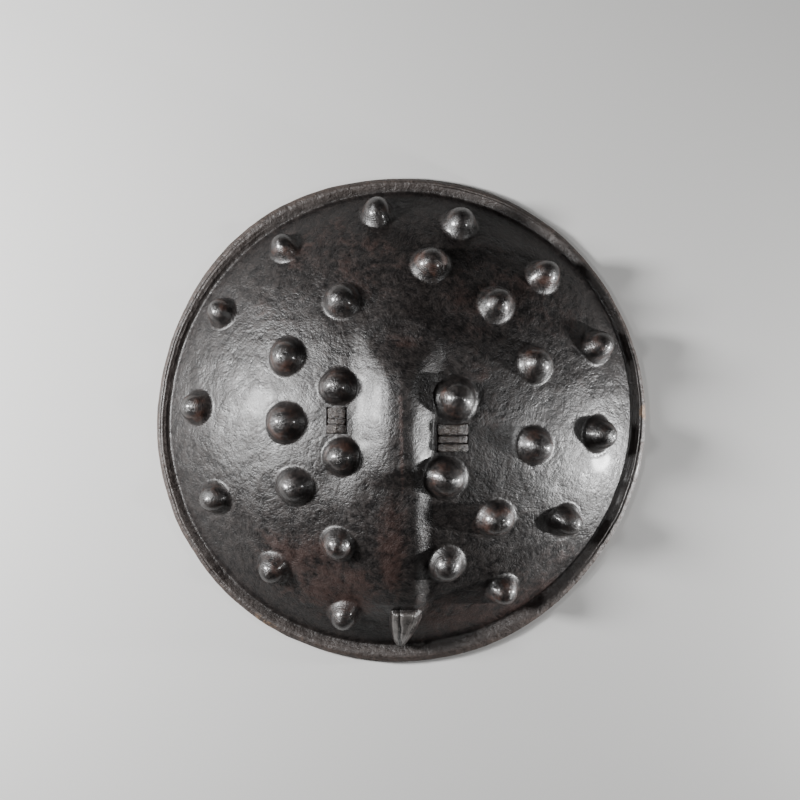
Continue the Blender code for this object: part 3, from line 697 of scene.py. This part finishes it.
def build_hide():
    """The whole sheet as one closed mesh, with masks for its material."""
    face_points, face_faces, face_edge, face_slots = face_skin
    back_points, back_faces, back_edge, back_slots = back_skin
    face_raise, face_near = face_lift(*face_points.T)
    back_raise, back_near = back_lift(*back_points.T)
    face_raise = face_raise * smooth((FACE_ARC - np.hypot(*face_points.T)) / SETTLE)
    back_settle = smooth((BACK_ARC - np.hypot(*back_points.T)) / SETTLE)
    back_raise = -THICKNESS + (back_raise + THICKNESS) * back_settle
    face_xyz = on_dome(*face_points.T, face_raise)
    back_xyz = on_dome(*back_points.T, back_raise)
    points = [face_xyz] + rim + [back_xyz]
    starts = np.cumsum([0] + [len(p) for p in points])
    faces = [tuple(f) for f in face_faces] + [tuple(f[::-1] + starts[-2]) for f in back_faces]
    loops = [face_edge] + [list(range(starts[k + 1], starts[k + 2])) for k in range(len(rim))]
    loops.append([k + starts[-2] for k in back_edge])
    for one, other in zip(loops, loops[1:]):
        faces.extend(join_rings(one, other))
    for one, other in zip(face_slots, back_slots):
        faces.extend(join_rings(one, [k + starts[-2] for k in other]))
    points = np.concatenate(points)
    hide = finish_mesh("hide_sheet", points, faces, 48)
    count = len(face_points)
    near = np.full(len(points), 4.0)
    near[:count] = face_near
    near[starts[-2]:] = back_near
    lug, behind, lip = np.zeros((3, len(points)))
    lug[:count] = smooth((lug_at(*face_points.T) - 0.0060) / 0.0045)
    behind[starts[len(rim) - 4]:] = 1.0
    for k in range(len(rim)):
        lip[starts[k + 1]:starts[k + 2]] = np.interp(k, LIP_RINGS, LIP_WEAR)
    x, y, _ = points.T
    stored = {"near_boss": near, "lug": lug, "behind": behind, "lip": lip,
              "ruddy": patches(x, y, RUDDY), "tan": tan_wear(x, y) * lip}
    for name, values in stored.items():
        add_mask(hide.data, name, values)
    return hide


hide = build_hide()
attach(hide, "root")
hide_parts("hide")
print("hide:", len(hide.data.polygons), "faces,", [round(d, 4) for d in hide.dimensions])

# %% [markdown]
# ## The hide's finish
#
# Dried hide is nearly black brown, with a satin skin that years of handling have polished. Light from
# the side catches its fibres, so the sheen looks brushed. The red brown shows where the skin is
# rubbed, and raw tan hide where the rim is chafed. Layers of noise mixed by the stored masks give all
# of this without any image.

# %% Smoked hide
# Colours from dark to light: the sheet, its red patches and the bosses' red sides, the rim, the lug's pale
# tone (partly rubbed wear and partly a painted highlight on its lobes), raw and rubbed hide on the rim's lip,
# and the back
BLACK_HIDE, DARK_HIDE = (0.0042, 0.0036, 0.0036, 1), (0.0135, 0.0104, 0.0094, 1)
RED_HIDE, BOSS_RED = (0.0260, 0.0124, 0.0096, 1), (0.034, 0.0160, 0.0112, 1)
RIM_DARK, RIM_PALE = (0.016, 0.0122, 0.0108, 1), (0.038, 0.0300, 0.0268, 1)
LUG_WEAR_AND_SHEEN, RAW_TAN, LIP_RUBBED = (0.062, 0.057, 0.054, 1), (0.170, 0.105, 0.060, 1), (0.070, 0.044, 0.033, 1)
BACK_DARK, BACK_PALE = (0.040, 0.026, 0.018, 1), (0.095, 0.062, 0.041, 1)
HIDE_ROUGHNESS = 0.43


def masks(place, *names):
    """The wires of some masks stored on the mesh."""
    return [place.node("ShaderNodeAttribute", {"attribute_name": name}, out=2) for name in names]


def hide_finish():
    """Dark satin hide with whorled fibres, ruddy patches, polished bosses and a chafed rim."""
    made, shader, place = start_material("smoked_hide")
    near, lug, behind = masks(place, "near_boss", "lug", "behind")
    lip, ruddy, tan = masks(place, "lip", "ruddy", "tan")
    blotch = cloud(place, 26, 4, 0.62)
    mottle = cloud(place, 120, 5, 0.65)
    bent = bend(place, 22, 0.045)
    fibre = cloud(bent, 640, 2, 0.60, length=3.2, turn=0.5) * 0.5
    fibre = fibre + cloud(bent, 560, 2, 0.60, length=2.8, turn=-0.7) * 0.5
    pull = cloud(bend(place, 12, 0.05), 70, 4, 0.6, length=1.8, turn=1.1)
    pore = cloud(place, 1100, 2, 0.7)
    on_boss = near.between(1.12, 0.86)
    boss_top = near.between(0.62, 0.30)
    red = ruddy * 0.75 + (blotch - 0.5) * 1.5 + (mottle - 0.5) * 1.6 + (fibre - 0.5) * 0.5
    red = red.between(0.26, 1.0)
    uneven = (mottle * 0.5 + fibre * 0.5).between(0.40, 0.62)
    colour = uneven.mix(BLACK_HIDE, DARK_HIDE)
    colour = (red * 0.75).mix(colour, RED_HIDE)
    side_red = on_boss * (1 - boss_top) * (0.25 + (blotch - 0.5) * 1.8 + (mottle - 0.5) * 1.6)
    colour = side_red.between(0.10, 0.80).mix(colour, BOSS_RED)
    rim_tone = (lip * (0.55 + mottle * 0.9)).between(0.06, 0.55)
    rim_colour = (fibre * 0.5 + blotch * 0.5).between(0.35, 0.65).mix(RIM_DARK, RIM_PALE)
    colour = (rim_tone * 0.9).mix(colour, rim_colour)
    # The lug's lobes are painted paler: a painted highlight on them, with some rubbed wear as well
    colour = (lug * (mottle * 1.9 - 0.25)).between(0.05, 0.95).mix(colour, LUG_WEAR_AND_SHEEN)
    chafed = (tan * 0.9 + (mottle - 0.5) * 1.6 + (pore - 0.5) * 0.8).between(0.55, 0.95)
    colour = chafed.mix(colour, RAW_TAN)
    edge_rub = (lip * (mottle * 0.9 + fibre * 0.4)).between(0.50, 0.80)
    colour = (edge_rub * 0.45).mix(colour, LIP_RUBBED)
    back_colour = (mottle * 0.5 + fibre * 0.5).between(0.38, 0.64).mix(BACK_DARK, BACK_PALE)
    colour = behind.mix(colour, back_colour)
    rough = HIDE_ROUGHNESS + (fibre - 0.5) * 0.60 + (mottle - 0.5) * 0.40 + (pull - 0.5) * 0.20
    rough = rough + red * 0.06 - boss_top * 0.06 + behind * 0.24 + rim_tone * 0.08 - lug * 0.09
    rings = near * 95.0 + mottle * 14.0
    rings = rings.node("ShaderNodeMath", {"operation": "SINE"}, {0: rings})
    relief = fibre * (0.60 - on_boss * 0.25) + mottle * (0.62 + rim_tone)
    relief = relief + pull * (1 - on_boss) + blotch * 2.0 + rings * on_boss * 0.06
    polish = (0.06 + on_boss * 0.50 + lug * 0.40) * (1 - behind)
    set_sockets(shader, {"Base Color": colour, "Roughness": rough, "Normal": bump(place, 0.0011, relief),
                         "Coat Weight": polish, "Coat Roughness": 0.16, "Specular IOR Level": 0.5})
    return made


hide.data.materials.append(hide_finish())
print("hide finish:", len(hide.data.materials[0].node_tree.nodes), "nodes")

# %% [markdown]
# ## The lacings
#
# Each lacing is a narrow hide thong wound three times through its two slots and round the grip's pad.
# A curve with a flat bevel would do, but the turns differ in width and height, and each bends sharply
# over its slot's edge, so a rounded strip is lofted along its own closed path.

# %% One turn of thong
THONG, FIT = 0.0030, 0.0005
PAD_DROP, PAD_THICKNESS = 0.0072, 0.0060
# Turns across a lacing: from y, to y, height over the hide
LEFT_STRANDS = ((-0.0132, -0.0040, 0.0050), (-0.0036, 0.0020, 0.0024), (0.0024, 0.0132, 0.0020))
RIGHT_STRANDS = ((-0.0142, -0.0060, 0.0048), (-0.0052, 0.0022, 0.0032), (0.0030, 0.0142, 0.0050))
# Points across the outer side of a turn, and points round its section
ACROSS_STEPS, THONG_STEPS = 17, 20
# How square a turn's section is: its sides, and its top and foot
SIDE_POWER, TOP_POWER = 0.62, 0.70


def turn_path(half_span, height):
    """The closed path of a turn seen from its edge: the inner side's x and z, the way out, the thickness."""
    inner = half_span - THONG / 2
    low = -PAD_DROP - PAD_THICKNESS - FIT
    thick = height - FIT
    bend_end = inner - 0.0048
    side = [
        (0.0, low, 0.0, -1.0, THONG), (inner - 0.0020, low, 0.0, -1.0, THONG),
        (inner - 0.0004, low + 0.0001, 0.6, -0.8, THONG), (inner, low + 0.0012, 1.0, 0.0, THONG),
        (inner, -0.0060, 1.0, 0.0, THONG), (inner, -0.0022, 1.0, 0.0, THONG),
        (inner - 0.0002, -0.0004, 0.95, 0.3, (THONG + thick) / 2), (inner - 0.0010, FIT, 0.65, 0.75, thick),
        (inner - 0.0026, FIT, 0.25, 0.97, thick), (bend_end, FIT, 0.0, 1.0, thick)]
    flat = [(bend_end * (1 - 2 * k / (ACROSS_STEPS + 1)), FIT, 0.0, 1.0, thick)
            for k in range(1, ACROSS_STEPS + 1)]
    other = [(-x, z, -out_x, out_z, t) for x, z, out_x, out_z, t in reversed(side[1:])]
    return side + flat + other


def thong_turn(place, half_span, low, high, height, layer):
    """Points and faces of one turn, as rounded sections along its path, lower towards its ends."""
    points, path = [], turn_path(half_span, height)
    for x, z, out_x, out_z, thick in path:
        seen = z >= FIT
        near_end = float(smooth((abs(x) - half_span + 0.0085) / 0.0065)) * seen
        bow = 0.0005 * noise.noise((x * 110, layer, 3.0)) * seen
        waist = 1 - (0.05 + 0.10 * noise.noise((x * 140, layer, 7.0)) - 0.06 * near_end) * seen
        for step in range(THONG_STEPS):
            angle = 2 * math.pi * step / THONG_STEPS
            c, s = math.cos(angle), math.sin(angle)
            y = (low + high) / 2 + bow + math.copysign(abs(c) ** SIDE_POWER, c) * waist * (high - low) / 2
            depth = thick * (0.5 + 0.5 * math.copysign(abs(s) ** TOP_POWER, s))
            if seen:
                worn = 0.00045 * noise.noise((x * 190, y * 190, layer))
                worn += 0.00025 * noise.noise((x * 520, y * 520, layer))
                depth += (worn - 0.42 * near_end * thick) * smooth(depth / thick - 0.2)
                y += 0.00025 * noise.noise((x * 420, c, layer + 5.0))
            points.append(place @ Vector((x + out_x * depth, y, z + out_z * depth)))
    rings = np.arange(len(points)).reshape(-1, THONG_STEPS)
    return points, [face for one, other in zip(rings, np.roll(rings, -1, axis=0))
                    for face in join_rings(one, other)]


def build_lacing(name, place, half_span, strands):
    """All turns of a lacing in one mesh."""
    points, faces, base = [], [], dome_frame(*place)
    for number, (low, high, height) in enumerate(strands):
        turn_points, turn_faces = thong_turn(base, half_span, low, high, height, 3.0 * number)
        faces.extend([tuple(k + len(points) for k in face) for face in turn_faces])
        points.extend(turn_points)
    made = finish_mesh(name, points, faces, 40)
    level = [(vertex.co - base.translation).dot(base.col[2].xyz) for vertex in made.data.vertices]
    add_mask(made.data, "proud", np.clip(np.array(level) / 0.005, 0, 1))
    return made


left_thong = build_lacing("left_thong", LEFT_LACING, LEFT_SPAN[0], LEFT_STRANDS)
right_thong = build_lacing("right_thong", RIGHT_LACING, RIGHT_SPAN[0], RIGHT_STRANDS)
for piece, node in ((left_thong, "left_lacing"), (right_thong, "right_lacing")):
    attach(piece, "root")
    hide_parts(node)
print("lacings:", [len(o.data.polygons) for o in (left_thong, right_thong)], "faces")

# %% [markdown]
# ## The grip
#
# The handle is a strip of hide folded into a thick, slightly flattened bar. It bows away from the
# shield so that fingers pass behind it, and flattens to a pad at each end, slotted for the thong.

# %% The grip's sections
# How far each pad reaches to the left and the right of its lacing, and how much its tip narrows
LEFT_PAD, RIGHT_PAD, PAD_TAPER = (-0.0165, 0.0145), (-0.0200, 0.0215), 0.0050
GRIP_SAG, BAR_EASE = 0.0260, 0.33
# Sections of a pad and of the bar's middle: half width, half height, how square
PAD_SECTION, BAR_SECTION = (0.0195, PAD_THICKNESS / 2, 7.0), (0.0140, 0.0100, 2.4)
PAD_DEPTH = -PAD_DROP - PAD_THICKNESS / 2
# Points round a section, sections along the bar, and the folded seam
GRIP_STEPS, BAR_RINGS, SEAM_HEIGHT, SEAM_WIDTH = 36, 36, 0.0016, 0.0022


def grip_section(centre, across, up, half_width, half_height, squareness, seam, layer):
    """A section of the grip, with a folded seam along its underside and small creases."""
    loop = []
    for step in range(GRIP_STEPS):
        angle = 2 * math.pi * (step + 0.5) / GRIP_STEPS
        c, s = math.cos(angle), math.sin(angle)
        x = math.copysign(abs(c) ** (2 / squareness), c) * half_width
        z = math.copysign(abs(s) ** (2 / squareness), s) * half_height
        if s < 0:
            z += seam * max(0.0, 1 - abs(x - 0.2 * half_width) / SEAM_WIDTH)
        shrink = 1 - 0.025 * abs(noise.noise((layer * 9, c * 1.6, s * 1.6)))
        loop.append(centre + across * x * shrink + up * z * shrink)
    return loop


def pad_sections(place, ends, count, tip):
    """Sections along a pad, which narrows to its tip."""
    half_width, half_height, squareness = PAD_SECTION
    sections = []
    for x in np.linspace(*ends, count):
        taper = PAD_TAPER * (1 - smooth(abs(x - tip) / PAD_TAPER)) ** 2
        sections.append(grip_section(place @ Vector((x, 0, PAD_DEPTH)), place.col[1].xyz, place.col[2].xyz,
                                     half_width - taper, half_height, squareness, 0.0, x * 60))
    return sections


def build_grip():
    """The bar and its two pads as one loft."""
    left, right = dome_frame(*LEFT_LACING), dome_frame(*RIGHT_LACING)
    loops = pad_sections(left, LEFT_PAD, 12, LEFT_PAD[0])
    start, end = left @ Vector((LEFT_PAD[1], 0, PAD_DEPTH)), right @ Vector((RIGHT_PAD[0], 0, PAD_DEPTH))
    run = end - start
    across = Vector((-run.y, run.x, 0)).normalized()
    for share in np.linspace(0.04, 0.96, BAR_RINGS):
        ease = float(smooth(min(share, 1 - share) / BAR_EASE))
        centre = start + run * share - Vector((0, 0, GRIP_SAG * ease))
        section = [pad + (bar - pad) * ease for pad, bar in zip(PAD_SECTION, BAR_SECTION)]
        loops.append(grip_section(centre, across, Vector((0, 0, 1)), *section, SEAM_HEIGHT * ease, share * 3))
    loops.extend(pad_sections(right, RIGHT_PAD, 14, RIGHT_PAD[1]))
    points = [p for loop in loops for p in loop]
    rings = np.arange(len(points)).reshape(-1, GRIP_STEPS)
    faces = [face for one, other in zip(rings, rings[1:]) for face in join_rings(one, other)]
    faces.extend((rings[0], rings[-1]))
    return finish_mesh("grip_bar", points, faces, 50)


def cut_slots(grip, place, half_span, half_height):
    """Cuts a pad's two slots with a Boolean modifier and applies it."""
    for side in (-half_span, half_span):
        shaper = bmesh.new()
        size = Matrix.Diagonal((SLOT_WIDTH, 2 * half_height, 3 * PAD_THICKNESS, 1))
        shift = Matrix.Translation((side, 0, PAD_DEPTH))
        bmesh.ops.create_cube(shaper, size=1.0, matrix=dome_frame(*place) @ shift @ size)
        block = bpy.data.meshes.new("slot_block")
        shaper.to_mesh(block)
        shaper.free()
        cutter = add_object("slot_block", block)
        cut = grip.modifiers.new("slot", "BOOLEAN")
        cut.operation, cut.solver, cut.object = "DIFFERENCE", "EXACT", cutter
        cleared = bpy.data.meshes.new_from_object(grip.evaluated_get(bpy.context.evaluated_depsgraph_get()))
        grip.modifiers.clear()
        grip.data = cleared
        bpy.data.objects.remove(cutter)


grip = build_grip()
cut_slots(grip, LEFT_LACING, *LEFT_SPAN)
cut_slots(grip, RIGHT_LACING, *RIGHT_SPAN)
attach(grip, "root")
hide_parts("grip")
print("grip:", len(grip.data.polygons), "faces")

# %% [markdown]
# ## Finishes of the thong and the grip
#
# The thong is dry and greyish, and a little paler where it stands proud. The grip is dull brown
# folded hide, with a coarser grain.

# %% Thong and grip hide


def thong_finish():
    """Dry, greyish brown thong, rubbed a little paler where it stands proud."""
    made, shader, place = start_material("dry_thong")
    proud, = masks(place, "proud")
    mottle = cloud(place, 260, 4, 0.62)
    grain = cloud(place, 900, 4, 0.65, length=3.0)
    colour = mottle.between(0.36, 0.66).mix((0.0080, 0.0062, 0.0056, 1), (0.030, 0.0225, 0.0190, 1))
    rubbed = (proud * (grain + mottle) * 0.95).between(0.55, 1.0)
    colour = (rubbed * 0.6).mix(colour, (0.042, 0.034, 0.029, 1))
    set_sockets(shader, {"Base Color": colour, "Roughness": 0.37 + (grain - 0.5) * 0.6 - rubbed * 0.08,
                         "Normal": bump(place, 0.0022, grain * 0.5 + mottle * 0.6)})
    return made


def grip_finish():
    """Dull brown folded hide."""
    made, shader, place = start_material("handled_hide")
    mottle = cloud(place, 140, 5, 0.6)
    grain = cloud(place, 520, 4, 0.65, length=2.5)
    uneven = (mottle * 0.6 + grain * 0.4).between(0.36, 0.66)
    colour = uneven.mix((0.040, 0.026, 0.018, 1), (0.105, 0.066, 0.042, 1))
    set_sockets(shader, {"Base Color": colour, "Roughness": 0.58 + (mottle - 0.5) * 0.3,
                         "Normal": bump(place, 0.0007, grain * 0.5 + mottle * 0.5)})
    return made


thong_hide = thong_finish()
left_thong.data.materials.append(thong_hide)
right_thong.data.materials.append(thong_hide)
grip.data.materials.append(grip_finish())
print("finishes:", [m.name for m in bpy.data.materials])

# %% [markdown]
# ## Floor, light and camera
#
# The shield lies face up on a plain pale floor and the camera looks straight down on it. A broad soft
# light from the left shapes the dome, and a small one high on the same side reaches into the rim's
# channel. From the right, one low over the floor rakes across the bosses and draws their long shadows,
# and a faint one above it keeps the middle of the dome from going black.

# %% Floor
floor_mesh = bpy.data.meshes.new("floor")
floor_mesh.from_pydata([(-4, -4, 0), (4, -4, 0), (4, 4, 0), (-4, 4, 0)], [], [(0, 1, 2, 3)])
floor = add_object("floor", floor_mesh)
floor.location.z = -0.0005
paper, paper_shader, _ = start_material("pale_paper")
set_sockets(paper_shader, {"Base Color": (0.42, 0.417, 0.410, 1), "Roughness": 0.9})
floor_mesh.materials.append(paper)
floor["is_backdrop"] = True
print("floor at z", floor.location.z)

# %% Lights


def soft_light(name, place, target, width, height, power):
    """A rectangular soft light that looks at a point."""
    data = bpy.data.lights.new(name, "AREA")
    data.shape = "RECTANGLE"
    data.energy, data.size, data.size_y = power, width, height
    lamp = add_object(name, data)
    lamp.location = place
    lamp.rotation_euler = (Vector(target) - Vector(place)).to_track_quat("-Z", "Y").to_euler()


soft_light("left_light", (-1.17, 0.14, 0.76), (-0.05, 0, 0.06), 0.25, 0.32, 62)
soft_light("high_left_light", (-0.73, 0.17, 1.14), (0.05, 0, 0.05), 0.16, 0.16, 7)
soft_light("right_light", (0.95, -0.215, 0.078), (0, 0, 0.07), 0.05, 0.08, 21)
soft_light("high_right_light", (0.90, -0.12, 0.80), (0, 0, 0.06), 0.10, 0.10, 4.5)
sky = bpy.data.worlds.new("soft_room")
sky.use_nodes = True
set_sockets(sky.node_tree.nodes["Background"], {"Color": (1.0, 1.0, 1.0, 1), "Strength": 0.01})
bpy.context.scene.world = sky

# %% Camera
# The picture is as wide as this at that distance from the camera. The sensor's width is in
# millimetres, and the shifts are in pixels.
CAMERA_HEIGHT, PICTURE_DISTANCE, PICTURE_WIDTH = 2.514, 2.5, 0.8507
SENSOR_WIDTH, PICTURE_PIXELS, SHIFT_RIGHT, SHIFT_UP = 36, 800, -1.5, 20.5
camera_data = bpy.data.cameras.new("camera")
camera_data.sensor_width = SENSOR_WIDTH
camera_data.lens = SENSOR_WIDTH * PICTURE_DISTANCE / PICTURE_WIDTH
camera_data.shift_x = SHIFT_RIGHT / PICTURE_PIXELS
camera_data.shift_y = SHIFT_UP / PICTURE_PIXELS
camera = add_object("camera", camera_data)
camera.location = (0, 0, CAMERA_HEIGHT)
bpy.context.scene.camera = camera
print("camera lens", round(camera_data.lens, 1), "mm")

# %% [markdown]
# ## Print the sizes and finish
#
# The dressed shield has to fill the same box as the solids, so both boxes are written down.

# %% Sizes, and the end
new_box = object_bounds()
for title, box in (("solids", cad_box), ("dressed", new_box)):
    print(title, [round(c, 4) for c in box[1] - box[0]])
